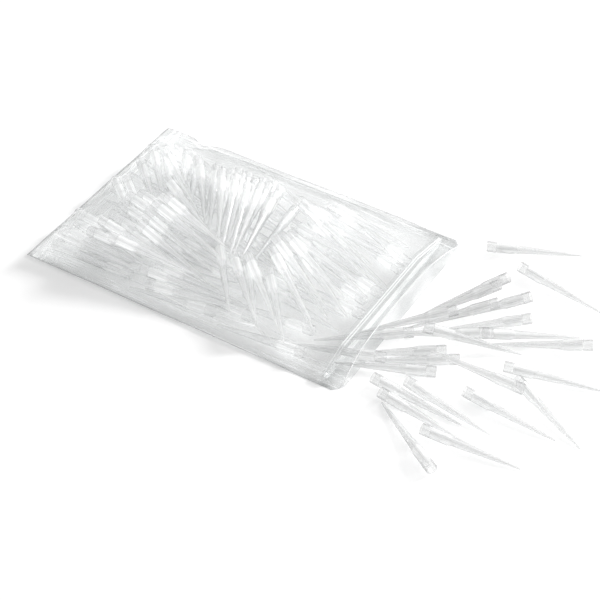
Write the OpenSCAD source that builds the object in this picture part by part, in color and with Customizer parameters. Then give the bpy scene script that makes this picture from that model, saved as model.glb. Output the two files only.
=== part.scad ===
// Bag of pipette tips: a clear press-seal bag lying flat, full of clear tips,
// with part of its contents spilled out of the open mouth.
// Millimetres. +Z is up, +X runs to the open mouth, the origin is on the
// table under the middle of the bag.

/* [Bag] */

// length of the bag from the closed end to the lip
bag_len = 290; // [240:1:340]

// width of the bag between its side folds, as it lies
bag_width = 197; // [160:1:240]

// thickness of one wall of film
film_wall = 0.12; // [0.08:0.01:0.3]

// width of the welded margin down the sides and across the closed end
seam_margin = 4; // [2:0.5:8]

// how far the far edge is drawn in beside the closed corner
notch_depth = 6; // [0:0.5:12]

// distance of that notch from the closed end
notch_from_end = 40; // [25:1:60]

// how far the top lip is drawn back where the mouth gapes
lip_pull = 5; // [0:0.5:10]

// how far the lip is rounded off at its two corners
lip_corner = 7; // [0:0.5:15]

/* [Press seal] */

// distance from the lip back to the press seal
seal_from_lip = 17; // [12:0.5:30]

// width of the web that carries each half of the seal
seal_web = 9; // [6:0.5:14]

// thickness of that web
seal_web_t = 0.35; // [0.2:0.05:0.6]

// height of the rib and of the two hooks over the web
seal_rib_h = 1.3; // [0.8:0.1:2]

// width of the neck of the rib
seal_rib_w = 0.7; // [0.4:0.1:1.2]

// width of the slot between the two hooks
seal_slot = 1.6; // [1.4:0.1:2.5]

// thickness of each hook
seal_hook_w = 0.6; // [0.4:0.1:1]

// gap left between each half of the seal and the film it is welded to
seal_gap = 0.05; // [0.02:0.01:0.2]

/* [Tip] */

// length of a tip
tip_len = 76; // [60:1:95]

// length of the plain rim at the mouth of a tip
rim_len = 7.5; // [4:0.5:12]

// outer radius of the rim
rim_r = 4.3; // [3.6:0.05:5]

// how far the collar is set in behind the rim
rim_step = 0.3; // [0.1:0.05:0.6]

// length of the ribbed collar behind the rim
collar_len = 14.5; // [10:0.5:20]

// length of the shoulder from the collar to the barrel
shoulder_len = 3.5; // [2:0.5:6]

// how far the shoulder draws in
shoulder_step = 0.6; // [0.3:0.05:1]

// outer radius where the barrel meets the nib
nib_r = 1.4; // [1:0.05:2]

// length of the nib
nib_len = 9; // [5:0.5:14]

// outer radius at the very point
point_r = 0.6; // [0.5:0.05:0.9]

// wall of the rim, the collar and the barrel
tip_wall = 0.6; // [0.4:0.05:1]

// radius of the bore at the very point
outlet_r = 0.3; // [0.2:0.05:0.4]

// number of ribs round the collar
rib_count = 6; // [4:1:12]

// width of one rib
rib_w = 0.6; // [0.4:0.1:1]

// how far a rib stands out of the collar
rib_h = 0.25; // [0.1:0.05:0.4]

/* [Heap] */

// gap kept between two tips that rest on each other
tip_gap = 0.2; // [0.1:0.05:0.5]

// how far the tips of a fan are out of line
fan_loose = 4; // [0:0.5:8]

// how far a tip slides while it finds its rest
heap_shift = 24; // [5:1:25]

// how many places it tries
heap_tries = 30; // [1:1:60]

// distance kept between the seams and the axes of the tips
heap_margin = 8; // [7.5:0.5:20]

// the same along the far side, where the bag was held up
heap_margin_far = 16; // [9:0.5:30]

// how far each layer of tips is drawn in from the one below
heap_slope = 3.5; // [0:0.5:12]

// the same along the far side, where the tips slid down when the bag was laid flat
heap_slope_far = 12; // [0:0.5:20]

// gap between the film and the tips under it
drape_gap = 0.3; // [0.1:0.05:1]

/* [Hidden] */

$fn = 40;
e = 0.01;

// where things are along the bag
closed_x = -bag_len / 2;
lip_x = bag_len / 2;
half_w = bag_width / 2;
seal_x = lip_x - seal_from_lip;
floor_z = film_wall + 0.05;                       // what a tip in the bag lies on
seal_h = seal_web_t + seal_rib_h;                 // height of one half of the seal
seal_top = film_wall + seal_gap + seal_h;
seal_shut = film_wall + seal_gap + seal_h + seal_web_t + 0.1;   // top of the upper half where the seal is shut
heap_x = [closed_x + seam_margin + heap_margin, seal_x - seal_web / 2 - 3];
heap_y = [-half_w + seam_margin + heap_margin, half_w - seam_margin - heap_margin_far];

// outline of a tip, measured back from its mouth
collar_r = rim_r - rim_step;
collar_end = rim_len + collar_len;
barrel_start = collar_end + shoulder_len;
barrel_r = collar_r - shoulder_step;
barrel_end = tip_len - nib_len;
layer_in = [0, 2, 10, 36];                        // how far each layer of the heap is drawn in
balance = 0.4 * tip_len;                          // how far back from the mouth a tip balances

// radius that a tip takes up at each place along it
reach = [[0, rim_r], [rim_len, rim_r], [rim_len + e, collar_r + rib_h], [collar_end, collar_r + rib_h],
         [barrel_start, barrel_r], [barrel_end, nib_r], [tip_len, point_r]];

// spilled tips: [x, y] of the mouth and the way that the point looks, lowest first
spilled = [
    [165, 99, 27], [198, 91, -8], [237, -15, 15], [224, -53, -4], [215, -102, 5], [240, -132, 147],
    [251, -22, -27], [284, 40, -153], [197, -46, -157], [162, -17, -141], [193, -22, -147], [206, -26, -151],
    [160, -57, -166], [160, -76, -3], [172, -86, -6], [183, -66, -9], [262, -34, 180], [196, 75, -120],
    [196, 59, -125], [221, 64, -131], [205, 39, -134], [183, 13, -138], [232, 42, -141], [211, 12, -144],
    [171, -18, 20], [210, 3, 36]];

// fans of tips in the bag, lowest layer first: layer, [x, y] of the fan's centre, the way from there to the
// middle of the fan, how far it spreads to each side, how far off its outer ends lie, rings, and how its tips
// lie: 0 all with the point to the centre, 1 in turns, 2 all with the mouth to the centre
fans = [
    [0, [420, -60], 174, 14, 560, 1, 1], [0, [420, -60], 174, 16, 475, 1, 1], [0, [420, -60], 174, 18, 390, 2, 1],
    [1, [60, -120], 128, 20, 240, 1, 0], [1, [-60, 60], -16, 38, 196, 1, 2], [1, [150, -50], 176, 17, 280, 2, 0],
    [2, [80, -50], 180, 20, 182, 1, 0], [2, [30, -80], 120, 25, 158, 1, 0], [2, [-80, 50], -16, 36, 184, 1, 2],
    [3, [56, -50], 178, 18, 134, 1, 0], [3, [30, -80], 124, 22, 130, 1, 0]];

function two(n) = str(n < 10 ? "0" : "", n);
function mix(a, b, t) = a + (b - a) * t;
function limit(v, lo, hi) = max(lo, min(hi, v));
// a repeatable number from -1 to 1
function wobble(n, k) = let (q = sin(n * 127.1 + k * 311.7) * 437.58) 2 * (q - floor(q)) - 1;

// ---------------------------------------------------------------- how the tips lie

// A tip seen from above is [x and y of its mouth, yaw, way its point looks, middle, fan].
// A lying tip has two more: the height of its axis at the mouth and the rise of the axis per mm.
function seen(x, y, yaw, of = -1) =
    let (u = [cos(yaw), sin(yaw)]) [[x, y], yaw, u, [x, y] + u * tip_len / 2, of];
function close(i, j) = norm(i[3] - j[3]) < tip_len + 2 * rim_r;
function axis_z(t, s) = t[5] + t[6] * s;
function cross2(a, b) = a[0] * b[1] - a[1] * b[0];

// tips i and j lie side by side with a strip of free table between them
function aside(i, j) =
    let (wide = 2 * rim_r + tip_gap, a = cross2(i[2], j[0] - i[0]), b = a + cross2(i[2], j[2]) * tip_len)
    min(a, b) > wide || max(a, b) < -wide;

// least room between the outlines of tips i and j, measured at the corners of j
function room(i, j) =
    let (d = i[0] - j[0])
    min([for (s = [0, rim_len, collar_end, tip_len])
        let (p = s * j[2] - d, t = limit(p * i[2], 0, tip_len)) norm(p - t * i[2]) - lookup(s, reach) - lookup(t, reach)]);
function apart(i, j) =
    aside(i, j) || aside(j, i) || !crossed(i, j) && room(i, j) > tip_gap && room(j, i) > tip_gap;
function crossed(i, j) =
    let (d = j[0] - i[0], turn = cross2(i[2], j[2]) * tip_len, a = cross2(i[2], d), b = cross2(j[2], d))
    (a < 0) != (a + turn < 0) && (b < 0) != (b + turn < 0);
function has_room(j, row, n = 0) =
    n == len(row) ? true : close(row[n], j) && !apart(row[n], j) ? false : has_room(j, row, n + 1);

// tip j moved back between the walls of the bag
function inside(j) =
    let (u = j[2] * tip_len, x = j[0][0], y = j[0][1], in = fans[j[4]][0] * heap_slope, in_far = fans[j[4]][0] * heap_slope_far,
         dx = max(0, heap_x[0] + in - min(x, x + u[0])) - max(0, max(x, x + u[0]) - heap_x[1] + 2 * in),
         dy = max(0, heap_y[0] + in - min(y, y + u[1])) - max(0, max(y, y + u[1]) - heap_y[1] + in_far))
    seen(x + dx, y + dy, j[1], j[4]);

// tip j where it has room beside the others of its layer: it slides further with each try
function find_room(j, row, n, c = 0) =
    let (far = heap_shift * c / heap_tries, a = 1.5 * far * wobble(n, c), b = far * wobble(n, c + 23),
         p = j[0] + a * j[2] + b * [-j[2][1], j[2][0]],
         t = inside(seen(p[0], p[1], j[1] + 0.3 * far * wobble(n, c + 43), j[4])))
    has_room(t, row) ? [t] : c == heap_tries ? [] : find_room(j, row, n, c + 1);
function spread(todo, row) =
    [for (n = 0, r = row; n <= len(todo); r = n < len(todo) ? concat(r, find_room(todo[n], r, n)) : r, n = n + 1)
        if (n == len(todo)) r][0];

// the tips of fan f, in rings round its centre
function fan(f) =
    let (m = fans[f])
    [for (ring = [0 : m[5] - 1])
        let (far = m[4] - ring * (tip_len + 2 * fan_loose + 2 * tip_gap),
             tight = m[6] == 1 ? far - 0.8 * tip_len : far - fan_loose - (m[6] == 2 ? tip_len : 0),
             step = ((m[6] == 1 ? rim_r + 1.5 * nib_r : 2 * rim_r) + 2 * tip_gap) / tight * 180 / PI,
             count = floor(m[3] / step))
        if (far > 1.3 * tip_len)
            for (k = [-count : count])
                let (turned = m[6] == 2 || m[6] == 1 && k % 2 != 0, way = m[2] + k * step,
                     off = far - (turned ? tip_len : 0) + fan_loose * wobble(f * 50 + ring * 20 + k, 2))
                seen(m[1][0] + off * cos(way), m[1][1] + off * sin(way), way + (turned ? 0 : 180), f)];

// the tips of one layer, with what still goes in between the fans
function layer(a) =
    let (below = a == 0 ? [for (t = spilled) seen(t[0], t[1], t[2])] : [],
         rows = [for (f = [0 : len(fans) - 1]) if (fans[f][0] == a) each [for (t = fan(f)) if (over_bag(t, a)) t]],
         row = spread(rows, below))
    [for (i = [len(below) : 1 : len(row) - 1]) row[i]];
// the middle of tip t is over the part of the bag that layer a covers
function over_bag(t, a) =
    let (m = t[3], in = layer_in[a])
    m[0] > heap_x[0] + 20 + in && m[0] < heap_x[1] - 15 - in / 2 && m[1] > heap_y[0] + in / 2 - 6 && m[1] < heap_y[1] + 6 - in / 2;

// places along a tip where it can meet something
stations = [0, rim_len, collar_end, barrel_start, mix(barrel_start, barrel_end, 0.5), barrel_end, tip_len];

// how much longer a lying tip is than it looks from above
function lean(t) = sqrt(1 + t[6] * t[6]);

// [place, least height] pairs that tip i, already lying, asks of tip j over it, which leans by lj
function asks(i, j, lj) =
    aside(i, j) || aside(j, i) ? [] :
    let (d = i[0] - j[0], turn = cross2(j[2], i[2]), run = d * j[2], along = i[2] * j[2] / lean(i), li = lean(i),
         crossing = abs(turn) < 0.02 ? [] : [for (off = [-15 : 5 : 15]) cross2(d, i[2]) / turn + off],
         beside = concat([for (t = [0, rim_len, collar_end, barrel_end, tip_len]) run + t * along], crossing),
         places = concat(stations / lj, [for (q = beside) if (q > 0 && q < tip_len / lj) q]))
    [for (s = places)
        let (p = s * j[2] - d, t = limit(p * i[2], 0, tip_len / li), away = norm(p - t * i[2]),
             r = lookup(s * lj, reach) + lookup(t * li, reach) + tip_gap)
        if (away < r) [s, axis_z(i, t) + max(li, lj) * sqrt(r * r - away * away)]];

// what the table, the bag's bottom wall and the lower half of the seal ask of tip j
function ground(j, lj) =
    let (x0 = j[0][0], ux = j[2][0], base = min(x0, x0 + tip_len * ux) < lip_x ? floor_z : 0,
         near = abs(ux) < 0.01 ? [] : [for (dx = [-seal_web / 2, 0, seal_web / 2])
             let (s = (seal_x + dx - x0) / ux) if (s > 0 && s < tip_len / lj) s])
    [for (s = concat(stations / lj, near))
        [s, lj * lookup(s * lj, reach) + (abs(x0 + s * ux - seal_x) < seal_web / 2 + 1 ? seal_top + tip_gap : base)]];

// the lowest straight line over all the asked heights, by halving the range of its rise
function rest_line(want, lo = -0.35, hi = 0.35, n = 9) =
    let (k = (lo + hi) / 2, over = [for (w = want) w[1] - k * (w[0] - balance)],
         top = max(over), at = want[search(top, over)[0]][0])
    n == 0 ? [top - k * balance, k] :
    at > balance ? rest_line(want, k, hi, n - 1) : rest_line(want, lo, k, n - 1);

// tips laid down one after another, each at rest on those below it
function rest(j, below, lj) = rest_line(concat(ground(j, lj), [for (i = below) each asks(i, j, lj)]));
function lay(j, pile) =
    let (below = [for (i = pile) if (close(i, j)) i], level = rest(j, below, 1))
    concat(j, rest(j, below, sqrt(1 + level[1] * level[1])));
function settle(todo, pile = []) =
    [for (n = 0, p = pile; n <= len(todo); p = n < len(todo) ? concat(p, [lay(todo[n], p)]) : p, n = n + 1)
        if (n == len(todo)) p][0];

function spilled_pile() = settle([for (t = spilled) seen(t[0], t[1], t[2])]);
function whole_pile() = settle([for (a = [0 : fans[len(fans) - 1][0]]) each layer(a)], spilled_pile());

// ---------------------------------------------------------------- one tip

// A tip stands on its mouth, pointing up.
module tip() {
    difference() {
        union() {
            rotate_extrude()
                polygon([[0, 0], [rim_r - 0.2, 0], [rim_r, 0.2], [rim_r, rim_len], [collar_r, rim_len + e],
                         [collar_r, collar_end], [barrel_r, barrel_start], [nib_r, barrel_end],
                         [point_r, tip_len], [0, tip_len]]);
            for (a = [0 : rib_count - 1])
                rotate(a * 360 / rib_count)
                    translate([collar_r - tip_wall / 2, -rib_w / 2, rim_len - 1])
                        cube([tip_wall / 2 + rib_h, rib_w, collar_len + 0.5]);
        }
        rotate_extrude()
            polygon([[0, -1], [rim_r - tip_wall, -1], [rim_r - tip_wall, rim_len / 2], [collar_r - tip_wall, rim_len + 1],
                     [collar_r - tip_wall, collar_end], [barrel_r - tip_wall, barrel_start],
                     [nib_r - tip_wall, barrel_end], [outlet_r, tip_len], [outlet_r, tip_len + 1], [0, tip_len + 1]]);
    }
}

// a tip laid down where it lies
module lying(t, spin = 0) {
    translate([t[0][0], t[0][1], t[5]])
        rotate([0, 0, t[1]])
            rotate([0, 90 - atan(t[6]), 0])
                rotate([0, 0, spin])
                    tip();
}

module spilled_tip(i) {
    color([0.93, 0.95, 0.96, 0.6]) lying(spilled_pile()[i], 25 * i);
}

module bagged_tips(b) {
    color([0.93, 0.95, 0.96, 0.6])
        for (t = whole_pile()) if (t[4] == b) lying(t, 7 * t[1]);
}

// ---------------------------------------------------------------- the bag

// lines of the film's net along and across the bag; the first and the last across are the margins
cell = 5;
seal_lines = [seal_x - seal_web / 2, seal_x + seal_web / 2];
xs = concat([closed_x], even(closed_x + seam_margin, seal_lines[0]), even(seal_lines[1], lip_x));
ys = concat([-half_w], even(-half_w + seam_margin, half_w - seam_margin), [half_w]);
nx = len(xs) - 1;
ny = len(ys) - 1;
seal_i = [for (i = [0 : nx]) if (xs[i] == seal_lines[0] || xs[i] == seal_lines[1]) i];
function even(a, b) = let (n = ceil((b - a) / cell)) [for (k = [0 : n]) mix(a, b, k / n)];

// the far edge has a small notch beside the closed corner
function notch(x) = notch_depth * exp(-pow((x - closed_x - notch_from_end) / 9, 2));
// how far the lip lies back from its straight line: rounded corners, and the top wall is drawn back by the gape
function lip_back(y, top) =
    lip_corner * pow(limit((abs(y) - half_w + 14) / 14, 0, 1), 3)
    + (top ? lip_pull * max(0, 1 - pow(y / (half_w - seam_margin), 2)) : 0);
function net(i, j, top = true) =
    let (x = xs[i], y = ys[j], f = limit((x - seal_lines[1]) / (lip_x - seal_lines[1]), 0, 1))
    [x - f * lip_back(y, top), y > 0 ? y * (1 - notch(x) / half_w) : y];

// height that the tips under point p ask of the film: level over the middle of a tip and falling off at 45 degrees
// beside it, with room for the flat cells of the net to pass over the round of the tip
spill_over = cell * 1.42;
function cover(p, pile, low) =
    max(concat([low], [for (t = pile)
        if (abs(p[0] - t[3][0]) < tip_len / 2 + spill_over + rim_r && abs(p[1] - t[3][1]) < tip_len / 2 + spill_over + rim_r)
        let (d = p - t[0], s = limit(d * t[2], 0, tip_len), r = lookup(s, reach) + drape_gap, away = norm(d - s * t[2]))
        if (away < r + spill_over)
            axis_z(t, s) + r * lean(t) + (0.09 + abs(t[6]) / 4) * spill_over - max(0, away - spill_over / 2)]));

// one row or net drawn taut over what is under it
function taut_line(low, n) =
    n == 0 ? low : taut_line([for (j = [0 : len(low) - 1])
        j == 0 || j == len(low) - 1 ? low[j] : max(low[j], (low[j - 1] + low[j + 1]) / 2)], n - 1);
function taut_net(h, low, n) =
    n == 0 ? h : taut_net([for (i = [0 : nx]) [for (j = [0 : ny])
        i < 2 || j < 2 || j > ny - 2 || i == seal_i[0] || i == seal_i[1] ? low[i][j] :
        let (next = i == nx ? h[i - 1][j] : h[i + 1][j]) max(low[i][j], (h[i - 1][j] + next + h[i][j - 1] + h[i][j + 1]) / 4)]],
        low, n - 1);

// height of the top of the upper half of the seal at each line across, from the second to the last but one
function seal_rise(pile) =
    taut_line([for (j = [0 : ny])
        j < 3 || j > ny - 3 ? seal_shut :
        max(seal_shut, max([for (x = [seal_lines[0], seal_x, seal_lines[1]]) cover([x, ys[j]], pile, 0)]) + seal_h + tip_gap)], 60);
function film_heights(pile) =
    let (rise = seal_rise(pile),
         low = [for (i = [0 : nx]) [for (j = [0 : ny])
             i < 2 || j < 2 || j > ny - 2 ? film_wall :
             i == seal_i[0] || i == seal_i[1] ? rise[j] + seal_gap :
             cover(net(i, j), pile, film_wall + 0.3)]])
    taut_net(low, low, 70);

function turned(faces) = [for (f = faces) [f[2], f[1], f[0]]];
function quad(a, b, c, d) = [[a, b, c], [a, c, d]];

// A thin shell in one piece: both walls, joined along the margins and open at the mouth.
module bag_film() {
    h = film_heights(whole_pile());
    row = ny + 1;
    all = row * (nx + 1);
    function ot(i, j) = i * row + j;                              // outside of the top wall
    function it(i, j) = all + i * row + j;                        // inside of the top wall
    function ob(k) = 2 * all + k;                                 // edge of the bottom wall
    rim = concat([for (i = [0 : nx]) [i, 0]], [for (j = [1 : ny]) [nx, j]],
                 [for (i = [nx - 1 : -1 : 0]) [i, ny]], [for (j = [ny - 1 : -1 : 1]) [0, j]]);
    lip0 = 2 * all + len(rim);
    function ib(j) = j == 1 || j == ny - 1 ? it(nx, j) : lip0 + j;  // inside of the bottom wall at the lip
    inner = concat([for (i = [1 : nx]) it(i, 1)], [for (j = [2 : ny - 1]) ib(j)],
                   [for (i = [nx - 1 : -1 : 1]) it(i, ny - 1)], [for (j = [ny - 2 : -1 : 2]) it(1, j)]);
    mid_out = lip0 + row;
    mid_in = mid_out + 1;
    points = concat(
        [for (i = [0 : nx]) for (j = [0 : ny]) concat(net(i, j), h[i][j] + film_wall)],
        [for (i = [0 : nx]) for (j = [0 : ny]) concat(net(i, j), h[i][j])],
        [for (r = rim) concat(net(r[0], r[1], false), 0)],
        [for (j = [0 : ny]) concat(net(nx, j, false), film_wall)],
        [[0, 0, 0], [0, 0, film_wall]]);
    lip_k = nx;                                                   // where the lip starts in the rim
    faces = concat(
        [for (i = [0 : nx - 1]) for (j = [0 : ny - 1]) each quad(ot(i, j), ot(i + 1, j), ot(i + 1, j + 1), ot(i, j + 1))],
        [for (i = [1 : nx - 1]) for (j = [1 : ny - 2]) each quad(it(i, j), it(i, j + 1), it(i + 1, j + 1), it(i + 1, j))],
        [for (k = [0 : len(inner) - 1]) [mid_in, inner[k], inner[(k + 1) % len(inner)]]],
        [for (k = [0 : len(rim) - 1]) [mid_out, ob((k + 1) % len(rim)), ob(k)]],
        [for (k = [0 : len(rim) - 1]) if (k < lip_k || k >= lip_k + ny)
            let (n = (k + 1) % len(rim), a = rim[k], b = rim[n]) each quad(ob(k), ob(n), ot(b[0], b[1]), ot(a[0], a[1]))],
        [for (j = [1 : ny - 2]) each quad(ob(lip_k + j), ob(lip_k + j + 1), ib(j + 1), ib(j))],
        [for (j = [1 : ny - 2]) each quad(it(nx, j), it(nx, j + 1), ot(nx, j + 1), ot(nx, j))],
        [[ob(lip_k), ob(lip_k + 1), it(nx, 1)], [ob(lip_k), it(nx, 1), ot(nx, 1)], [ob(lip_k), ot(nx, 1), ot(nx, 0)],
         [ob(lip_k + ny), ot(nx, ny), ot(nx, ny - 1)], [ob(lip_k + ny), ot(nx, ny - 1), it(nx, ny - 1)],
         [ob(lip_k + ny), it(nx, ny - 1), ob(lip_k + ny - 1)]]);
    color([0.95, 0.97, 0.98, 0.35]) polyhedron(points, turned(faces));
}

// the lower half of the press seal: a web with two hooks that lies on the bottom wall
module seal_groove_strip() {
    from = ys[2];
    to = ys[ny - 2];
    half = seal_slot / 2;
    color([0.9, 0.94, 0.97, 0.5])
        translate([seal_x, to, film_wall + seal_gap]) rotate([90, 0, 0])
            linear_extrude(to - from)
                polygon([[-seal_web / 2, 0], [seal_web / 2, 0], [seal_web / 2, seal_web_t],
                         [half + seal_hook_w, seal_web_t], [half + seal_hook_w, seal_h], [half - 0.2, seal_h],
                         [half, seal_h - 0.4], [half, seal_web_t],
                         [-half, seal_web_t], [-half, seal_h - 0.4], [-half + 0.2, seal_h],
                         [-half - seal_hook_w, seal_h], [-half - seal_hook_w, seal_web_t], [-seal_web / 2, seal_web_t]]);
}

// the upper half: a web with one arrow-shaped rib, which hangs under the top wall and rises with it
module seal_rib_strip() {
    rise = seal_rise(whole_pile());
    neck = seal_rib_w / 2;
    head = seal_slot / 2 - 0.25;
    section = [[-seal_web / 2, 0], [-seal_web / 2, -seal_web_t], [-neck, -seal_web_t], [-neck, -seal_h + 0.5],
               [-head, -seal_h + 0.5], [0, -seal_h], [head, -seal_h + 0.5], [neck, -seal_h + 0.5],
               [neck, -seal_web_t], [seal_web / 2, -seal_web_t], [seal_web / 2, 0]];
    n = len(section);
    last = ny - 4;
    points = [for (k = [0 : last]) for (p = section) [seal_x + p[0], net(seal_i[0], k + 2)[1], rise[k + 2] + p[1]]];
    sides = [for (k = [0 : last - 1]) for (a = [0 : n - 1])
        each let (b = (a + 1) % n) [[k * n + a, (k + 1) * n + a, (k + 1) * n + b], [k * n + a, (k + 1) * n + b, k * n + b]]];
    color([0.9, 0.94, 0.97, 0.5])
        polyhedron(points, concat(turned(sides), [[for (a = [n - 1 : -1 : 0]) a]], [[for (a = [0 : n - 1]) last * n + a]]));
}

// ---------------------------------------------------------------- the pieces

bag_film();
seal_groove_strip();
seal_rib_strip();
for (i = [0 : len(spilled) - 1])
    spilled_tip(i);
for (b = [0 : len(fans) - 1])
    bagged_tips(b);
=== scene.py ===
import math

import bpy
import numpy as np
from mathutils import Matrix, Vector


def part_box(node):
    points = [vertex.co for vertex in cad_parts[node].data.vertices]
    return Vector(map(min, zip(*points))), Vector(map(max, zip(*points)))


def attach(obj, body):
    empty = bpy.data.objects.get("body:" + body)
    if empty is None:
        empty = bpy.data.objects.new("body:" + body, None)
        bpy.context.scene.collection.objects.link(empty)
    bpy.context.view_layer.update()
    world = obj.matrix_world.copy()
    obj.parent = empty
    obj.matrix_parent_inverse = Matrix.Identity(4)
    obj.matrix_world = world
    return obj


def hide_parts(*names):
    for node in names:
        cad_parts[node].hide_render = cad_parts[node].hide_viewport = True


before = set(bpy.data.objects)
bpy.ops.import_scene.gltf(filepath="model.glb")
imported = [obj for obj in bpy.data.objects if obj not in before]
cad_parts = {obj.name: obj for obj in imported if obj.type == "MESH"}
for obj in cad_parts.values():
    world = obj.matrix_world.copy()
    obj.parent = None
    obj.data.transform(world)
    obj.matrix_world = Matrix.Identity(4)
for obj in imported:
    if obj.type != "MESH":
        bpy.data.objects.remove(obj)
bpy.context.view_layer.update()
scene = bpy.context.scene
mm = 0.001


def smooth(a, b, v):  # 0 below a, 1 above b
    t = np.clip((v - a) / (b - a), 0, 1)
    return t * t * (3 - 2 * t)


def linked(name, mesh):
    obj = bpy.data.objects.new(name, mesh)
    scene.collection.objects.link(obj)
    return obj


def meshOf(name, points, faces, sharpDegrees=180):
    mesh = bpy.data.meshes.new(name)
    mesh.from_pydata(np.asarray(points).tolist(), [], np.asarray(faces).tolist())
    mesh.shade_smooth()
    if sharpDegrees < 180:
        mesh.set_sharp_from_angle(angle=math.radians(sharpDegrees))
    return mesh


# places and sizes of camera, lamps and floor in metres, angles in degrees, lens and sensor in mm
viewpoint = {"target": (0.0678, -0.028, 0.0), "azimuth": 31.7, "elevation": 43.0,
             "distance": 1.288, "lens": 99.5, "sensor": 36, "seesFrom": 0.05, "seesTo": 20}


def makeCamera():
    turn, tilt = math.radians(viewpoint["azimuth"]), math.radians(viewpoint["elevation"])
    back = Vector((math.sin(turn) * math.cos(tilt), -math.cos(turn) * math.cos(tilt), math.sin(tilt)))
    data = bpy.data.cameras.new("camera")
    data.lens = viewpoint["lens"]
    data.sensor_width = viewpoint["sensor"]
    data.clip_start, data.clip_end = viewpoint["seesFrom"], viewpoint["seesTo"]
    camera = bpy.data.objects.new("camera", data)
    camera.location = Vector(viewpoint["target"]) + back * viewpoint["distance"]
    camera.rotation_euler = back.to_track_quat("Z", "Y").to_euler()
    scene.collection.objects.link(camera)
    scene.camera = camera


studio = {"keyFrom": (2.3, 4.3, 2.25), "keySize": 1.2, "keyWatts": 380.0,
          "fillFrom": (-1.8, -0.5, 2.2), "fillSize": 2.0, "fillWatts": 8.0, "worldStrength": 0.55,
          "floorHalf": 3, "floorDrop": 0.0002, "floorColour": 0.88, "floorGlow": 0.09,
          "floorRoughness": 0.9, "floorSpecular": 0.1,
          "deepest": 96}  # tips lie many walls deep under the film


def addLamp(name, place, size, watts):
    data = bpy.data.lights.new(name, "AREA")
    data.shape = "SQUARE"
    data.size, data.energy = size, watts
    lamp = bpy.data.objects.new(name, data)
    lamp.location = place
    lamp.rotation_euler = Vector(place).to_track_quat("Z", "Y").to_euler()
    scene.collection.objects.link(lamp)


def seenDirectly(tree):  # 1 for rays that show the background: camera, mirror and see-through rays
    path = tree.nodes.new("ShaderNodeLightPath")
    first = tree.nodes.new("ShaderNodeMath")
    first.operation = "MAXIMUM"
    tree.links.new(path.outputs["Is Camera Ray"], first.inputs[0])
    tree.links.new(path.outputs["Is Glossy Ray"], first.inputs[1])
    second = tree.nodes.new("ShaderNodeMath")
    second.operation = "MAXIMUM"
    tree.links.new(first.outputs[0], second.inputs[0])
    tree.links.new(path.outputs["Is Transmission Ray"], second.inputs[1])
    return second.outputs[0]


def makeStudio():
    addLamp("key", studio["keyFrom"], studio["keySize"], studio["keyWatts"])
    addLamp("fill", studio["fillFrom"], studio["fillSize"], studio["fillWatts"])
    world = bpy.data.worlds.new("studio")
    world.use_nodes = True
    tree = world.node_tree
    background = tree.nodes["Background"]
    background.inputs["Color"].default_value = (1, 1, 1, 1)
    strength = tree.nodes.new("ShaderNodeMapRange")
    strength.inputs["To Min"].default_value = studio["worldStrength"]
    strength.inputs["To Max"].default_value = 1.0
    tree.links.new(seenDirectly(tree), strength.inputs["Value"])
    tree.links.new(strength.outputs[0], background.inputs["Strength"])
    scene.world = world

    half, shade = studio["floorHalf"], studio["floorColour"]
    corners = [(-half, -half, 0), (half, -half, 0), (half, half, 0), (-half, half, 0)]
    floor = linked("floor", meshOf("floor", corners, [(0, 1, 2, 3)]))
    material = bpy.data.materials.new("white table")
    material.use_nodes = True
    tree = material.node_tree
    surface = tree.nodes["Principled BSDF"]
    surface.inputs["Base Color"].default_value = (shade, shade, shade, 1)
    surface.inputs["Roughness"].default_value = studio["floorRoughness"]
    surface.inputs["Specular IOR Level"].default_value = studio["floorSpecular"]
    surface.inputs["Emission Color"].default_value = (1, 1, 1, 1)
    glow = tree.nodes.new("ShaderNodeMath")
    glow.operation = "MULTIPLY"
    glow.inputs[1].default_value = studio["floorGlow"]
    tree.links.new(seenDirectly(tree), glow.inputs[0])
    tree.links.new(glow.outputs[0], surface.inputs["Emission Strength"])
    floor.data.materials.append(material)
    floor.location.z = -studio["floorDrop"]


makeCamera()
makeStudio()
scene.view_settings.view_transform = "Standard"
scene.cycles.transparent_max_bounces = studio["deepest"]
print("camera and studio done")


# what the materials share: how much a plastic face mirrors, and how far off a wall shades in full
shine = {"power": 5.0, "grazing": 0.9, "straight": 0.035}
shadowReach = {"near": 6 * mm, "far": 28 * mm}


def newTree(name):
    material = bpy.data.materials.new(name)
    material.use_nodes = True
    tree = material.node_tree
    for old in list(tree.nodes):
        if old.type != "OUTPUT_MATERIAL":
            tree.nodes.remove(old)
    return material, tree, tree.nodes["Material Output"]


def node(tree, kind, values=None, **settings):  # values are links or numbers, by socket name or place
    made = tree.nodes.new(kind)
    for key, value in settings.items():
        setattr(made, key, value)
    for key, value in (values or {}).items():
        if isinstance(value, bpy.types.NodeSocket):
            tree.links.new(value, made.inputs[key])
        else:
            made.inputs[key].default_value = value
    return made


def blendOf(tree, factor, a, b):
    return node(tree, "ShaderNodeMixShader", {0: factor, 1: a, 2: b}).outputs[0]


def mathOf(tree, operation, a, b=0.0):
    return node(tree, "ShaderNodeMath", {0: a, 1: b}, operation=operation).outputs[0]


def scaledFrom(tree, value, scale, start):  # value * scale + start
    made = mathOf(tree, "MULTIPLY_ADD", value, scale)
    made.node.inputs[2].default_value = start
    return made


def colourBetween(tree, factor, a, b):
    made = node(tree, "ShaderNodeMix", {0: factor}, data_type="RGBA")
    made.inputs[6].default_value = (*a, 1)
    made.inputs[7].default_value = (*b, 1)
    return made.outputs[2]


def rampOf(tree, value, low, high):
    return node(tree, "ShaderNodeMapRange", {"Value": value, "From Min": low, "From Max": high},
                interpolation_type="SMOOTHSTEP").outputs[0]


def clearOf(tree, colour):
    return node(tree, "ShaderNodeBsdfTransparent", {"Color": colour}).outputs[0]


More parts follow.
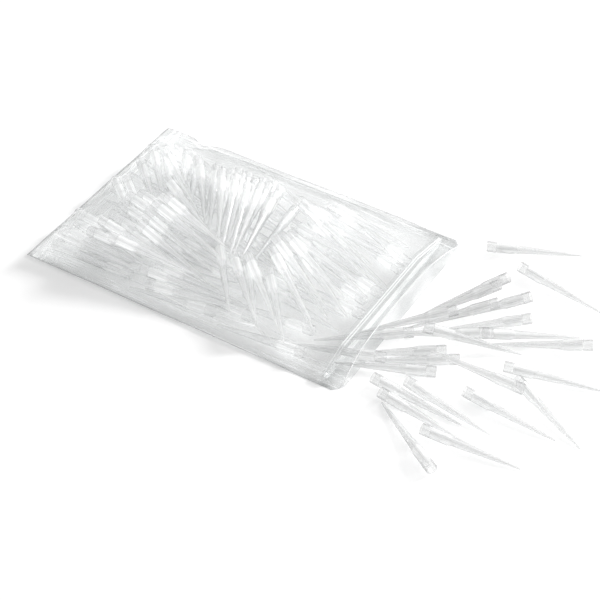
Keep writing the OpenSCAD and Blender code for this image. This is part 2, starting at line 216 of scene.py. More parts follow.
def objectPlace(tree):
    return node(tree, "ShaderNodeTexCoord").outputs["Object"]


def shineOf(tree, facing):  # the same from both sides of a wall
    grazing = mathOf(tree, "MULTIPLY", mathOf(tree, "POWER", facing, shine["power"]), shine["grazing"])
    return mathOf(tree, "ADD", grazing, shine["straight"])


def makeCloudGroup():  # fine unevenness of moulded or blown plastic, as a mask from 0 to 1
    group = bpy.data.node_groups.new("cloudiness", "ShaderNodeTree")
    group.interface.new_socket("Scale", in_out="INPUT", socket_type="NodeSocketFloat")
    group.interface.new_socket("Contrast", in_out="INPUT", socket_type="NodeSocketFloat")
    group.interface.new_socket("Mask", in_out="OUTPUT", socket_type="NodeSocketFloat")
    start = group.nodes.new("NodeGroupInput")
    end = group.nodes.new("NodeGroupOutput")
    noise = node(group, "ShaderNodeTexNoise", {
        "Vector": objectPlace(group), "Scale": start.outputs["Scale"], "Detail": 3.0})
    centred = mathOf(group, "SUBTRACT", noise.outputs["Fac"], 0.5)
    group.links.new(scaledFrom(group, centred, start.outputs["Contrast"], 0.5), end.inputs["Mask"])
    return group


cloudiness = makeCloudGroup()


def cloudMask(tree, scale, contrast):
    made = node(tree, "ShaderNodeGroup", {}, node_tree=cloudiness)
    made.inputs["Scale"].default_value = scale
    made.inputs["Contrast"].default_value = contrast
    return made.outputs["Mask"]


def clearForShadows(tree, shader, look, dense=None):  # a thin wall's spread light reaches what is close
    path = node(tree, "ShaderNodeLightPath").outputs
    away = node(tree, "ShaderNodeMapRange", {
        "Value": path["Ray Length"], "From Min": shadowReach["near"], "From Max": shadowReach["far"]})
    passing = clearOf(tree, colourBetween(tree, away.outputs[0], look["passNear"], look["passFar"]))
    if dense is not None:
        passing = blendOf(tree, dense, passing, clearOf(tree, (*look["passDense"], 1)))
    return blendOf(tree, path["Is Shadow Ray"], shader, passing)


# tip plastic, with places along the tip as shares of its length
tipLook = {"clear": (0.99, 0.991, 0.991), "mirror": 0.6, "roughness": 0.1, "ior": 1.49,
           "edgePower": 2.4, "edgeDepth": 8.0, "edgeFade": 0.85,
           "rimEnd": 0.098, "collarStart": 0.104, "collarEnd": 0.285, "barrelStart": 0.33,
           "barrelEnd": 0.87, "nibStart": 0.89, "collarIn": (0.098, 0.106), "collarOut": (0.31, 0.285),
           "cloudScale": 400.0, "unevenness": 0.1, "streakScale": 2.2, "streaks": 2.4, "leastMilk": 0.1}
# one tip plastic in two copies, lit and shaded apart: on the table it is painted darker (greyer milk and
# collar, less light let through) so it shades below the white table; in the bag it is painted lighter (paler
# milk and collar, more light let through) for the light that fills the heap
spilledLookPaintedDarker = {"milk": (0.88, 0.882, 0.882), "through": 0.15,
               "collar": (0.91, 0.912, 0.912), "collarThrough": 0.2, "clearEdge": (0.32, 0.326, 0.328),
               "passNear": (0.9, 0.901, 0.901), "passFar": (0.96, 0.961, 0.961),
               "rimMilk": 0.2, "collarMilk": 0.55, "barrelMilk": 0.32, "nibMilk": 0.4}
baggedLookPaintedLighter = {"milk": (0.98, 0.981, 0.981), "through": 0.4,
              "collar": (0.99, 0.991, 0.991), "collarThrough": 0.45, "clearEdge": (0.36, 0.366, 0.368),
              "passNear": (0.984, 0.985, 0.985), "passFar": (0.94, 0.941, 0.941),
              "rimMilk": 0.28, "collarMilk": 0.52, "barrelMilk": 0.25, "nibMilk": 0.28}


def milkAlong(tree, along, look):  # plain rim, ribbed collar, clear barrel, thin nib
    ramp = node(tree, "ShaderNodeValToRGB", {"Fac": along})
    t = tipLook
    stops = [(0.0, "rimMilk"), (t["rimEnd"], "rimMilk"),
             (t["collarStart"], "collarMilk"), (t["collarEnd"], "collarMilk"),
             (t["barrelStart"], "barrelMilk"), (t["barrelEnd"], "barrelMilk"),
             (t["nibStart"], "nibMilk"), (1.0, "nibMilk")]
    while len(ramp.color_ramp.elements) < len(stops):
        ramp.color_ramp.elements.new(0.5)
    for element, (place, key) in zip(ramp.color_ramp.elements, stops):
        element.position = place
        element.color = (look[key],) * 3 + (1,)
    return ramp.outputs["Color"]


def unevenMilk(tree):  # streaks of more and less milk along the wall, at random round it, and fine unevenness
    grain = node(tree, "ShaderNodeAttribute", {}, attribute_name="grain").outputs["Vector"]
    streak = node(tree, "ShaderNodeTexNoise", {
        "Vector": grain, "Scale": tipLook["streakScale"], "Detail": 1.0})
    centred = mathOf(tree, "SUBTRACT", streak.outputs["Fac"], 0.5)
    streaked = scaledFrom(tree, centred, tipLook["streaks"], 0.5)
    uneven = mathOf(tree, "ADD", cloudMask(tree, tipLook["cloudScale"], tipLook["unevenness"]), streaked)
    return mathOf(tree, "MAXIMUM", uneven, tipLook["leastMilk"])


def makeTipMaterial(name, look):
    material, tree, output = newTree(name)
    along = node(tree, "ShaderNodeAttribute", {}, attribute_name="along").outputs["Fac"]
    facing = node(tree, "ShaderNodeLayerWeight", {"Blend": 0.5}).outputs["Facing"]
    # walls that lie deep under others lose their dark edges, as light from all sides fills them
    walls = node(tree, "ShaderNodeLightPath").outputs["Transparent Depth"]
    depth = mathOf(tree, "MINIMUM", mathOf(tree, "DIVIDE", walls, tipLook["edgeDepth"]), 1.0)
    fade = mathOf(tree, "SUBTRACT", 1.0, mathOf(tree, "MULTIPLY", depth, tipLook["edgeFade"]))
    edge = mathOf(tree, "MULTIPLY", mathOf(tree, "POWER", facing, tipLook["edgePower"]), fade)
    seeThrough = clearOf(tree, colourBetween(tree, edge, tipLook["clear"], look["clearEdge"]))
    gloss = node(tree, "ShaderNodeBsdfGlossy", {
        "Color": (tipLook["mirror"],) * 3 + (1,), "Roughness": tipLook["roughness"]}).outputs[0]
    clearPart = blendOf(tree, shineOf(tree, facing), seeThrough, gloss)

    milk = mathOf(tree, "MULTIPLY", milkAlong(tree, along, look), unevenMilk(tree))
    collar = mathOf(tree, "MULTIPLY", rampOf(tree, along, *tipLook["collarIn"]),
                    rampOf(tree, along, *tipLook["collarOut"]))
    colour = colourBetween(tree, collar, look["milk"], look["collar"])
    body = node(tree, "ShaderNodeBsdfPrincipled", {
        "Base Color": colour, "Roughness": tipLook["roughness"], "IOR": tipLook["ior"]}).outputs[0]
    spread = node(tree, "ShaderNodeBsdfTranslucent", {"Color": colour}).outputs[0]
    through = scaledFrom(tree, collar, look["collarThrough"] - look["through"], look["through"])
    wall = blendOf(tree, milk, clearPart, blendOf(tree, through, body, spread))
    tree.links.new(clearForShadows(tree, wall, look), output.inputs["Surface"])
    return material


# bag film and press seal; a mark's range is where its noise starts and ends to show
filmLook = {"clear": (0.968, 0.969, 0.969), "clearEdge": (0.86, 0.865, 0.865), "haze": 0.14,
            "milk": (0.965, 0.968, 0.968), "roughness": 0.2, "mirror": 0.35, "edgePower": 2.0,
            "passNear": (0.965, 0.966, 0.966), "passFar": (0.76, 0.761, 0.761),
            "passDense": (0.7, 0.702, 0.702), "cloudScale": 60.0,
            "bumpScale": 160.0, "bumpStrength": 0.35, "bumpDepth": 0.0006}
# white pleats, margin streaks and lip are painted highlights; grey waves are painted shade; grey along the
# side edges is partly painted shade
foldLook = {"pleat": (430, 16, 0), "pleatRange": (0.5, 0.64), "pleatEnd": (30 * mm, 6 * mm),
            "margin": (12, 400, 0), "marginRange": (0.56, 0.72), "marginEdge": (26 * mm, 6 * mm),
            "wave": (60, 26, 0), "waveRange": (0.42, 0.66), "waveMouth": (24 * mm, 12 * mm),
            "waveLeast": 0.3, "waveShade": 0.9, "lipHighlightRange": (0.3, 0.7), "whiteness": 0.95,
            "sideEdge": (14 * mm, 4 * mm), "sideShade": 0.15, "sideDense": 0.6}
sealLook = {"clear": (0.985, 0.986, 0.986), "clearEdge": (0.8, 0.805, 0.805), "haze": 0.02,
            "lineOff": 1.0 * mm, "lineHalf": 0.5 * mm, "whiteness": 0.95}


def makeFilmMaterial(name, look, marksOf):
    material, tree, output = newTree(name)
    white, shaded, dense = marksOf(tree)
    f = filmLook
    fine = node(tree, "ShaderNodeTexNoise", {
        "Vector": objectPlace(tree), "Scale": f["bumpScale"], "Detail": 2.0})
    bump = node(tree, "ShaderNodeBump", {
        "Height": fine.outputs["Fac"], "Strength": f["bumpStrength"], "Distance": f["bumpDepth"]}).outputs[0]
    facing = node(tree, "ShaderNodeLayerWeight", {"Blend": 0.5, "Normal": bump}).outputs["Facing"]
    edge = mathOf(tree, "MAXIMUM", mathOf(tree, "POWER", facing, f["edgePower"]), shaded)
    seeThrough = clearOf(tree, colourBetween(tree, edge, look["clear"], look["clearEdge"]))
    gloss = node(tree, "ShaderNodeBsdfGlossy", {"Roughness": f["roughness"], "Normal": bump}).outputs[0]
    mirror = mathOf(tree, "MULTIPLY", shineOf(tree, facing), f["mirror"])
    clearPart = blendOf(tree, mirror, seeThrough, gloss)
    milk = blendOf(tree, 0.5, node(tree, "ShaderNodeBsdfDiffuse", {"Color": (*f["milk"], 1)}).outputs[0],
                   node(tree, "ShaderNodeBsdfTranslucent", {"Color": (*f["milk"], 1)}).outputs[0])
    haze = mathOf(tree, "MULTIPLY", cloudMask(tree, f["cloudScale"], 1.0), look["haze"])
    wall = blendOf(tree, mathOf(tree, "ADD", haze, white), clearPart, milk)
    tree.links.new(clearForShadows(tree, wall, f, dense), output.inputs["Surface"])
    return material


def streaksOf(tree, stretch, low, high):  # long marks: the greater number of the stretch says how fine
    place = node(tree, "ShaderNodeVectorMath", {0: objectPlace(tree), 1: stretch}, operation="MULTIPLY")
    noise = node(tree, "ShaderNodeTexNoise", {"Vector": place.outputs[0], "Scale": 1.0, "Detail": 1.0})
    return node(tree, "ShaderNodeMapRange", {
        "Value": noise.outputs["Fac"], "From Min": low, "From Max": high}).outputs[0]


def foldMarks(tree):  # painted highlights: white pleats along the margins and its white lip; painted shade: grey waves towards the mouth and grey side edges
    m = foldLook
    x, y = node(tree, "ShaderNodeSeparateXYZ", {0: objectPlace(tree)}).outputs[:2]
    low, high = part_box("bag_film")
    off = mathOf(tree, "ABSOLUTE", y)
    nearEnd = rampOf(tree, x, *(low[0] + reach for reach in m["pleatEnd"]))
    nearEdge = rampOf(tree, off, *(high[1] - reach for reach in m["marginEdge"]))
    nearMouth = rampOf(tree, x, *(high[0] - reach for reach in m["waveMouth"]))
    # white streaks on the pleats and margins, painted highlights
    pleatHighlights = mathOf(tree, "MULTIPLY", streaksOf(tree, m["pleat"], *m["pleatRange"]), nearEnd)
    marginHighlights = mathOf(tree, "MULTIPLY", streaksOf(tree, m["margin"], *m["marginRange"]), nearEdge)
    # grey waves towards the mouth, painted shade of the film's wrinkles there, over a least grey across the
    # mouth
    rough = mathOf(tree, "MAXIMUM", streaksOf(tree, m["wave"], *m["waveRange"]), m["waveLeast"])
    paintedWaveShade = mathOf(tree, "MULTIPLY", rough, nearMouth)
    # the white lip is a painted highlight
    lip = node(tree, "ShaderNodeAttribute", {}, attribute_name="lip").outputs["Fac"]
    white = mathOf(tree, "MAXIMUM", mathOf(tree, "MAXIMUM", pleatHighlights, marginHighlights),
                   rampOf(tree, lip, *m["lipHighlightRange"]))
    # grey along both side edges: partly painted shade for the shadow at the bag's edges, partly the film's
    # own grey band
    sides = rampOf(tree, off, *(high[1] - reach for reach in m["sideEdge"]))
    grey = mathOf(tree, "MAXIMUM", mathOf(tree, "MULTIPLY", paintedWaveShade, m["waveShade"]),
                  mathOf(tree, "MULTIPLY", sides, m["sideShade"]))
    return (mathOf(tree, "MULTIPLY", white, m["whiteness"]), grey,
            mathOf(tree, "MULTIPLY", sides, m["sideDense"]))


def sealMarks(tree):  # a fine milky line on each side of the rib, and clear webs
    across = node(tree, "ShaderNodeSeparateXYZ", {0: objectPlace(tree)}).outputs[0]
    middle = sum(corner[0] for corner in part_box("seal_rib_strip")) / 2
    off = mathOf(tree, "ABSOLUTE", mathOf(tree, "SUBTRACT", across, middle))
    lines = mathOf(tree, "COMPARE", off, sealLook["lineOff"])
    lines.node.inputs[2].default_value = sealLook["lineHalf"]
    return mathOf(tree, "MULTIPLY", lines, sealLook["whiteness"]), 0.0, None


# the same plastic, painted darker for the spilled tips and lighter for those in the bag
tipPlastic = {"spilled": makeTipMaterial("natural tip plastic", spilledLookPaintedDarker),
              "bagged": makeTipMaterial("natural tip plastic in the bag", baggedLookPaintedLighter)}
clearFilm = makeFilmMaterial("clear bag film", filmLook, foldMarks)
sealPlastic = makeFilmMaterial("press seal plastic", sealLook, sealMarks)
print("materials done")


def islandsOf(obj):  # the separate solids of a node, each as its corner points
    mesh = obj.data
    corners = np.empty(len(mesh.vertices) * 3)
    mesh.vertices.foreach_get("co", corners)
    corners = corners.reshape(-1, 3)
    loops = np.empty(len(mesh.loops), int)
    mesh.loops.foreach_get("vertex_index", loops)
    points, same = np.unique(np.round(corners, 7), axis=0, return_inverse=True)
    triangles = same.reshape(-1)[loops].reshape(-1, 3)
    label = np.arange(len(points))
    while True:
        least = label[triangles].min(axis=1)
        new = label.copy()
        for k in range(3):
            np.minimum.at(new, triangles[:, k], least)
        new = new[new]
        if (new == label).all():
            break
        label = new
    return [points[label == k] for k in np.unique(label)]


def axisOf(points, layer=0.3 * mm):  # the middle of a tip's mouth and the way its point looks
    middle = points.mean(axis=0)
    way = np.linalg.eigh(np.cov((points - middle).T))[1][:, 2]
    for again in range(3):
        s = (points - middle) @ way
        low, high = points[s < s.min() + layer], points[s > s.max() - layer]
        a, b = low.mean(axis=0), high.mean(axis=0)
        way = (b - a) / np.linalg.norm(b - a)
        middle = (a + b) / 2
    widthLow = np.linalg.norm(low - a, axis=1).max()
    widthHigh = np.linalg.norm(high - b, axis=1).max()
    return (a, way) if widthLow > widthHigh else (b, -way)


# one tip, in mm, with places from its mouth
tipSizes = {"length": 76.0, "rimRadius": 4.3, "rimLength": 7.5, "rimRound": 0.3, "step": 0.3,
            "collarRadius": 4.0, "collarEnd": 22.0, "overRibs": 4.25,
            "barrelStart": 25.5, "barrelRadius": 3.4, "waistAt": 40.0, "waistRadius": 2.7, "waistBore": 2.1,
            "lowerAt": 54.5, "lowerRadius": 2.0, "nibStart": 67.0, "nibRadius": 1.4,
            "pointRadius": 0.6, "outlet": 0.3, "wall": 0.6,
            "sides": 24, "baggedSides": 12, "sharpDegrees": 40, "streakDraw": 2.5,
            "ribs": 14, "ribWidth": 0.55, "ribHeight": 0.25, "ribFrom": 8.2, "ribTo": 21.6}


def tipProfile(fine):  # a closed loop of radius and place along the tip, outside first
    t = tipSizes
    wall = t["wall"]
    if not fine:
        outside = [(t["rimRadius"], 0), (t["rimRadius"], t["rimLength"]),
                   (t["collarRadius"], t["rimLength"] + t["step"]), (t["collarRadius"], t["collarEnd"]),
                   (t["barrelRadius"], t["barrelStart"]),
                   (t["nibRadius"], t["nibStart"]), (t["pointRadius"], t["length"])]
        inside = [(t["outlet"], t["length"] - 0.05), (t["nibRadius"] - wall, t["nibStart"]),
                  (t["barrelRadius"] - wall, t["barrelStart"]),
                  (t["collarRadius"] - wall, t["rimLength"] + 1), (t["rimRadius"] - wall, 0.2)]
        return outside + inside
    # rounded rims, a soft end to the collar, and a barrel that bows in a little
    outside = [(t["rimRadius"] - t["rimRound"], 0), (t["rimRadius"] - 0.08, 0.1), (t["rimRadius"], 0.4),
               (t["rimRadius"], t["rimLength"] - t["rimRound"]), (t["rimRadius"] - 0.1, t["rimLength"]),
               (t["collarRadius"], t["rimLength"] + t["step"]), (t["collarRadius"], t["collarEnd"] - 0.4),
               (t["collarRadius"] - 0.08, t["collarEnd"] + 0.3),
               (t["barrelRadius"] + 0.15, t["barrelStart"] - 1),
               (t["barrelRadius"], t["barrelStart"]), (t["waistRadius"], t["waistAt"]),
               (t["lowerRadius"], t["lowerAt"]),
               (t["nibRadius"], t["nibStart"]), (t["nibRadius"] - 0.12, t["nibStart"] + 0.5),
               (t["pointRadius"] + 0.02, t["length"] - 0.3), (t["pointRadius"] - 0.06, t["length"])]
    inside = [(t["outlet"], t["length"] - 0.05), (t["nibRadius"] - wall, t["nibStart"]),
              (t["waistBore"], t["waistAt"]),
              (t["barrelRadius"] - wall, t["barrelStart"]), (t["collarRadius"] - wall, t["collarEnd"]),
              (t["collarRadius"] - wall, t["rimLength"] + 1), (t["rimRadius"] - wall, t["rimLength"] / 2),
              (t["rimRadius"] - wall, 0.2)]
    return outside + inside


def latheMesh(name, profile, sides):
    turn = np.arange(sides) * 2 * math.pi / sides
    points = np.array([(r * math.cos(a), r * math.sin(a), z) for r, z in profile for a in turn]) * mm
    count = len(profile)
    faces = [(i * sides + k, i * sides + (k + 1) % sides,
              (i + 1) % count * sides + (k + 1) % sides, (i + 1) % count * sides + k)
             for i in range(count) for k in range(sides)]
    return meshOf(name, points, faces, tipSizes["sharpDegrees"])


def newGeometryTree(name, inputs):
    tree = bpy.data.node_groups.new(name, "GeometryNodeTree")
    tree.interface.new_socket("Geometry", in_out="INPUT", socket_type="NodeSocketGeometry")
    for title, kind in inputs:
        tree.interface.new_socket(title, in_out="INPUT", socket_type="NodeSocket" + kind)
    tree.interface.new_socket("Geometry", in_out="OUTPUT", socket_type="NodeSocketGeometry")
    return tree, tree.nodes.new("NodeGroupInput").outputs, tree.nodes.new("NodeGroupOutput")


def endTree(tree, geometry, material, end):  # plain mesh with its material
    real = node(tree, "GeometryNodeRealizeInstances", {"Geometry": geometry})
    painted = node(tree, "GeometryNodeSetMaterial", {"Geometry": real.outputs[0], "Material": material})
    tree.links.new(painted.outputs[0], end.inputs[0])
    return tree


def applyTree(obj, tree, values):  # runs the tree on the object and leaves a plain mesh
    modifier = obj.modifiers.new(tree.name, "NODES")
    modifier.node_group = tree
    for item in tree.interface.items_tree:
        if item.in_out == "INPUT" and item.name in values:
            modifier[item.identifier] = values[item.name]
    bpy.context.view_layer.update()
    made = bpy.data.meshes.new_from_object(obj.evaluated_get(bpy.context.evaluated_depsgraph_get()))
    obj.modifiers.remove(modifier)
    made.name = obj.name
    obj.data = made


def makeRibTree():
    tree, given, end = newGeometryTree("collar ribs", [
        ("Ribs", "Int"), ("Radius", "Float"), ("Width", "Float"), ("Height", "Float"),
        ("From", "Float"), ("To", "Float"), ("Material", "Material")])
    ring = node(tree, "GeometryNodeMeshCircle", {"Vertices": given["Ribs"], "Radius": given["Radius"]})
    size = node(tree, "ShaderNodeCombineXYZ", {
        0: mathOf(tree, "MULTIPLY", given["Height"], 2.0), 1: given["Width"],
        2: mathOf(tree, "SUBTRACT", given["To"], given["From"])})
    bar = node(tree, "GeometryNodeMeshCube", {"Size": size.outputs[0]})
    step = mathOf(tree, "DIVIDE", 2 * math.pi, given["Ribs"])
    angle = mathOf(tree, "MULTIPLY", node(tree, "GeometryNodeInputIndex").outputs[0], step)
    turned = node(tree, "ShaderNodeCombineXYZ", {2: angle})
    ribs = node(tree, "GeometryNodeInstanceOnPoints", {
        "Points": ring.outputs["Mesh"], "Instance": bar.outputs["Mesh"], "Rotation": turned.outputs[0]})
    middle = mathOf(tree, "MULTIPLY", mathOf(tree, "ADD", given["From"], given["To"]), 0.5)
    raised = node(tree, "ShaderNodeCombineXYZ", {2: middle}).outputs[0]
    lifted = node(tree, "GeometryNodeTransform", {"Geometry": ribs.outputs[0], "Translation": raised})
    both = node(tree, "GeometryNodeJoinGeometry")
    tree.links.new(given["Geometry"], both.inputs[0])
    tree.links.new(lifted.outputs[0], both.inputs[0])
    return endTree(tree, both.outputs[0], given["Material"], end)


def storedOn(tree, geometry, name, value, kind):
    return node(tree, "GeometryNodeStoreNamedAttribute", {
        "Geometry": geometry, "Name": name, "Value": value}, data_type=kind, domain="POINT").outputs[0]


def makeMarkTree():  # how far along the tip each point is, and a place round its axis for the streaks
    tree, given, end = newGeometryTree("places on a tip", [
        ("Length", "Float"), ("Draw", "Float"), ("Material", "Material")])
    place = node(tree, "GeometryNodeInputPosition").outputs[0]
    height = node(tree, "ShaderNodeSeparateXYZ", {0: place}).outputs[2]
    along = mathOf(tree, "DIVIDE", height, given["Length"])
    flat = node(tree, "ShaderNodeVectorMath", {0: place, 1: (1, 1, 0)}, operation="MULTIPLY")
    around = node(tree, "ShaderNodeVectorMath", {0: flat.outputs[0]}, operation="NORMALIZE")
    drawnOut = node(tree, "ShaderNodeCombineXYZ", {2: mathOf(tree, "MULTIPLY", height, given["Draw"])})
    grain = node(tree, "ShaderNodeVectorMath", {
        0: around.outputs[0], 1: drawnOut.outputs[0]}, operation="ADD")
    marked = storedOn(tree, given["Geometry"], "along", along, "FLOAT")
    marked = storedOn(tree, marked, "grain", grain.outputs[0], "FLOAT_VECTOR")
    return endTree(tree, marked, given["Material"], end)


def makeTips():  # a spilled tip with its ribs, and a plainer one for the many in the bag
    t = tipSizes
    ribs, marks = makeRibTree(), makeMarkTree()
    made = {}
    for kind, sides in (("spilled", t["sides"]), ("bagged", t["baggedSides"])):
        fine = kind == "spilled"
        tip = linked("one_tip_" + kind, latheMesh("one_tip_" + kind, tipProfile(fine), sides))
        if fine:
            applyTree(tip, ribs, {
                "Ribs": t["ribs"], "Radius": t["collarRadius"] * mm, "Width": t["ribWidth"] * mm,
                "Height": t["ribHeight"] * mm, "From": t["ribFrom"] * mm, "To": t["ribTo"] * mm,
                "Material": tipPlastic[kind]})
        applyTree(tip, marks, {
            "Length": t["length"] * mm, "Draw": t["streakDraw"], "Material": tipPlastic[kind]})
        scene.collection.objects.unlink(tip)
        made[kind] = tip
    return made


def makeLayingTree():
    tree, given, end = newGeometryTree("lay tips", [
        ("Tip", "Object"), ("Roll", "Float"), ("Seed", "Int"), ("Material", "Material")])
    shape = node(tree, "GeometryNodeObjectInfo", {"Object": given["Tip"]})
    way = node(tree, "GeometryNodeInputNamedAttribute", {"Name": "way"}, data_type="FLOAT_VECTOR")
    aligned = node(tree, "FunctionNodeAlignRotationToVector", {"Vector": way.outputs["Attribute"]}, axis="Z")
    roll = node(tree, "FunctionNodeRandomValue", {}, data_type="FLOAT")
    floats = [s for s in roll.inputs if s.type == "VALUE" and s.enabled]
    floats[0].default_value = 0.0
    tree.links.new(given["Roll"], floats[1])
    tree.links.new(given["Seed"], roll.inputs["Seed"])
    rolled = [s for s in roll.outputs if s.type == "VALUE" and s.enabled][0]
    spin = node(tree, "FunctionNodeAxisAngleToRotation", {"Axis": (0, 0, 1), "Angle": rolled})
    turned = node(tree, "FunctionNodeRotateRotation", {
        "Rotation": aligned.outputs[0], "Rotate By": spin.outputs[0]}, rotation_space="LOCAL")
    laid = node(tree, "GeometryNodeInstanceOnPoints", {
        "Points": given["Geometry"], "Instance": shape.outputs["Geometry"], "Rotation": turned.outputs[0]})
    return endTree(tree, laid.outputs[0], given["Material"], end)


allTips = []  # mouth and way of every tip, for the film


def layTips():
    tips, tree = makeTips(), makeLayingTree()
    for seed, name in enumerate(sorted(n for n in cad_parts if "tip" in n)):
        places = [axisOf(points) for points in islandsOf(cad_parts[name])]
        allTips.extend(places)
        mesh = bpy.data.meshes.new(name)
        mesh.from_pydata([tuple(mouth) for mouth, way in places], [], [])
        mesh.attributes.new("way", "FLOAT_VECTOR", "POINT").data.foreach_set(
            "vector", np.array([way for mouth, way in places], np.float32).ravel())
        piece = linked(name.replace("tip", "clear_tip"), mesh)
        kind = name.split("_")[0]
        applyTree(piece, tree, {
            "Tip": tips[kind], "Roll": 2 * math.pi, "Seed": seed, "Material": tipPlastic[kind]})
        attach(piece, "root")
        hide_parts(name)


layTips()
print("tips laid:", len(allTips))


# the bag, in mm
bagSizes = {"seam": 4.0, "notchDepth": 6.0, "notchAt": 40.0, "notchWidth": 9.0,
            "lipPull": 5.0, "lipCorner": 7.0, "cornerReach": 14, "lipHighlightWidth": 1.9, "lipHighlightEdge": 0.1,
            "sealBack": 17.0, "sealWeb": 9.0, "overSeal": 0.12, "cell": 1.75, "wall": 0.09, "overTips": 0.35,
            "drapeRounds": 900, "creaseFade": 14, "creaseFadeAtSeal": 10,
            "lift": 1.4, "liftWidth": 7.5, "liftWaviness": 0.15, "liftWaves": (17, 12),
            "liftEnds": (86, 112),
            "flat": (0.29, 0.394)}  # in metres, before it was folded

# creases: from, to, height and half width, in mm from the middle of the bag
creases = [
    ((-140, 92), (-96, 40), 1.6, 3.0), ((-140, 84), (-112, 30), 1.2, 2.2),
    ((-142, 60), (-104, 22), 1.4, 2.4), ((-142, 20), (-100, 6), 1.2, 2.0),
    ((-142, -20), (-104, -18), 1.3, 2.4), ((-142, -52), (-108, -44), 1.4, 2.2),
    ((-138, -88), (-100, -58), 1.6, 2.8), ((-96, -92), (-60, -70), 1.0, 2.4),
    ((-20, -94), (14, -74), 1.0, 2.2), ((60, -94), (84, -66), 1.4, 2.6),
    ((96, -92), (112, -60), 1.6, 2.6), ((-60, 94), (-30, 70), 1.2, 2.4),
    ((20, 94), (44, 66), 1.2, 2.2), ((80, 92), (104, 60), 1.4, 2.4),
    ((100, 84), (118, 36), 1.2, 2.2), ((104, -40), (122, -8), 1.0, 2.0),
    ((88, 20), (120, 30), 1.0, 2.0)]


def creaseHeight(x, y):  # slightly bent ridges that fade at both ends
    total = np.zeros_like(x)
    for (x0, y0), (x1, y1), height, width in creases:
        length = math.hypot(x1 - x0, y1 - y0)
        ux, uy = (x1 - x0) / length, (y1 - y0) / length
        along = (x - x0) * ux + (y - y0) * uy
        bend = 2.5 * np.sin(along / length * 2.4 + x0)
        off = np.abs(-(x - x0) * uy + (y - y0) * ux + bend)
        ends = smooth(-6, 8, along) * (1 - smooth(length - 10, length + 8, along))
        total += height * ends * np.exp(-off / width)
    return total


def heightOverTips(x, y, gap):  # the least height that the film can have over each place
    low = np.full(x.shape, bagSizes["wall"] * 1.5)
    t = tipSizes
    stations = [0, t["rimLength"], t["rimLength"] + t["step"], t["collarEnd"], t["barrelStart"],
                t["nibStart"], t["length"]]
    radii = [t["rimRadius"], t["rimRadius"], t["overRibs"], t["overRibs"], t["barrelRadius"],
             t["nibRadius"], t["pointRadius"]]
    for mouth, way in allTips:
        mouth = mouth / mm
        flat = math.hypot(way[0], way[1])
        ux, uy = way[0] / flat, way[1] / flat
        s = ((x - mouth[0]) * ux + (y - mouth[1]) * uy) / flat
        s = np.clip(s, 0, t["length"])
        r = np.interp(s, stations, radii) + gap
        away = np.hypot(x - mouth[0] - s * way[0], y - mouth[1] - s * way[1])
        top = mouth[2] + s * way[2] + np.sqrt(np.maximum(r * r - away * away, 0)) / flat
        low = np.where(away < r, np.maximum(low, top), low)
    return low


def sealTop():  # height of the top of the upper half of the seal across the bag
    points = np.concatenate(islandsOf(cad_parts["seal_rib_strip"])) / mm
    across = np.unique(np.round(points[:, 1], 2))
    return across, np.array([points[np.abs(points[:, 1] - y) < 0.02, 2].max() for y in across])


def bagNet():  # both walls from above: lines run along the seams, the seal and the lip
    b = bagSizes
    low, high = [np.array(v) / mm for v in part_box("bag_film")]
    half = (high[1] - low[1]) / 2
    seal = high[0] - b["sealBack"]
    marks = [low[0], low[0] + b["seam"], seal - b["sealWeb"] / 2, seal + b["sealWeb"] / 2, high[0]]
    xs = [marks[0]]
    for a, c in zip(marks, marks[1:]):
        count = max(2, round((c - a) / b["cell"]))
        xs.extend(a + (c - a) * (k + 1) / count for k in range(count))
    count = round((2 * half - 2 * b["seam"]) / b["cell"])
    middle = np.linspace(-half + b["seam"], half - b["seam"], count + 1)
    ys = np.concatenate([[-half, -half + b["seam"] / 2], middle, [half - b["seam"] / 2, half]])
    x, y = np.meshgrid(np.array(xs), ys, indexing="ij")
    inMouth = np.clip((x - marks[3]) / (high[0] - marks[3]), 0, 1)
    reach = b["cornerReach"]
    corner = b["lipCorner"] * np.clip((np.abs(y) - half + reach) / reach, 0, 1) ** 3
    pull = b["lipPull"] * np.maximum(0, 1 - (y / (half - b["seam"])) ** 2)
    notch = b["notchDepth"] * np.exp(-((x - low[0] - b["notchAt"]) / b["notchWidth"]) ** 2)
    yTop = np.where(y > 0, y * (1 - notch / half), y)
    return x - inMouth * (corner + pull), x - inMouth * corner, yTop, marks, half, x, y


def edgeLift(x, y, netX, netY, marks, half):  # the welded edges stand off the table, less at the mouth
    b = bagSizes
    inward = np.minimum(netX - marks[0], half - np.abs(netY))
    wavy, (longWave, shortWave) = b["liftWaviness"], b["liftWaves"]
    paintedWaveShade = 1 + wavy * np.sin(x / longWave) + wavy * np.sin(y / shortWave + 1)
    return b["lift"] * paintedWaveShade * (1 - smooth(0, b["liftWidth"], inward)) * (1 - smooth(*b["liftEnds"], netX))


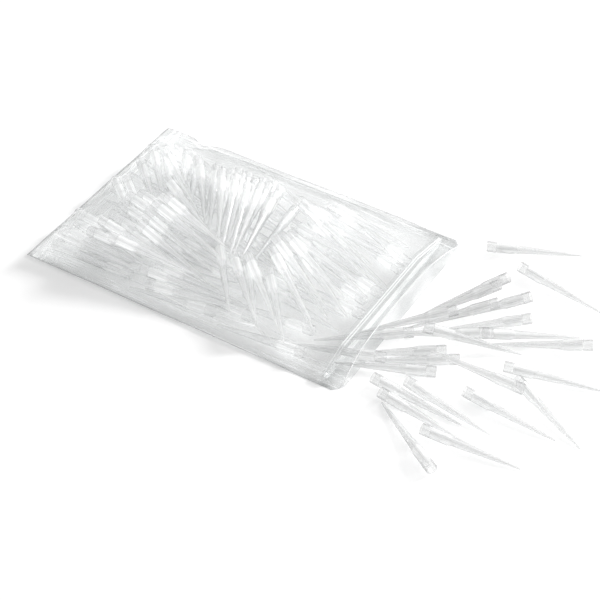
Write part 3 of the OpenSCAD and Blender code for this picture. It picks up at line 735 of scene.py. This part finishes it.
def drapedHeights(x, y, marks, half, netX, netY):  # the upper wall rests on the tips or hangs between
    b = bagSizes
    low = heightOverTips(x, y, b["overTips"])
    across, top = sealTop()
    sealed = np.interp(netY, across, top) + b["overSeal"]
    inSeal = (netX > marks[2] - 0.01) & (netX < marks[3] + 0.01)
    edge = (netX < marks[1] - 0.01) | (np.abs(netY) > half - b["seam"] - 0.01)
    flat = b["wall"] * 1.6
    fixed = edge | inSeal
    value = np.where(edge, flat + edgeLift(x, y, netX, netY, marks, half), sealed)
    h = np.where(fixed, value, low)
    for again in range(b["drapeRounds"]):
        pad = np.pad(h, 1, mode="edge")
        mean = (pad[:-2, 1:-1] + pad[2:, 1:-1] + pad[1:-1, :-2] + pad[1:-1, 2:]) / 4
        h = np.where(fixed, value, np.maximum(low, mean))
    inner = smooth(0, b["creaseFade"], np.minimum(netX - marks[1], half - b["seam"] - np.abs(netY)))
    offSeal = smooth(0, b["creaseFadeAtSeal"], np.maximum(marks[2] - netX, netX - marks[3]))
    h = h + creaseHeight(x, y) * inner * offSeal
    return np.where(fixed, value, np.maximum(low, h))


def quadsOf(grid, flip):
    a, c, d, e = grid[:-1, :-1], grid[1:, :-1], grid[1:, 1:], grid[:-1, 1:]
    four = (a, e, d, c) if flip else (a, c, d, e)
    return np.stack(four, axis=-1).reshape(-1, 4)


def makeBag():
    b = bagSizes
    topX, bottomX, yTop, marks, half, netX, netY = bagNet()
    h = drapedHeights(topX, yTop, marks, half, netX, netY)
    nx, ny = topX.shape
    top = np.stack([topX, yTop, h], axis=-1).reshape(-1, 3)
    bottomZ = b["wall"] * 0.6 + edgeLift(topX, yTop, netX, netY, marks, half)
    bottom = np.stack([bottomX, yTop, bottomZ], axis=-1).reshape(-1, 3)
    index = np.arange(nx * ny).reshape(nx, ny)
    lower = index + nx * ny
    shared = np.zeros((nx, ny), bool)
    shared[0, :] = shared[:, 0] = shared[:, -1] = True  # the welded edges
    lower[shared] = index[shared]
    faces = np.concatenate([quadsOf(index, False), quadsOf(lower, True)])
    points = np.concatenate([top, bottom])
    used = np.unique(faces)
    renumber = np.zeros(len(points), int)
    renumber[used] = np.arange(len(used))
    mesh = meshOf("draped_bag", points[used] * mm, renumber[faces])
    # the lip attribute marks a painted highlight along the free edge of the upper wall
    white = smooth(marks[4] - b["lipHighlightWidth"], marks[4] - b["lipHighlightEdge"], netX)
    lip = np.concatenate([white.ravel(), np.zeros(nx * ny)])[used]
    mesh.attributes.new("lip", "FLOAT", "POINT").data.foreach_set("value", lip)
    bag = linked("draped_bag", mesh)
    wall = bag.modifiers.new("wall", "SOLIDIFY")
    wall.thickness, wall.offset = b["wall"] * mm, 0
    bag.data.materials.append(clearFilm)
    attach(bag, "root")
    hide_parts("bag_film")


makeBag()
for name in ("seal_groove_strip", "seal_rib_strip"):
    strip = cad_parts[name]
    strip.data.materials.clear()
    strip.data.materials.append(sealPlastic)
print("bag done")
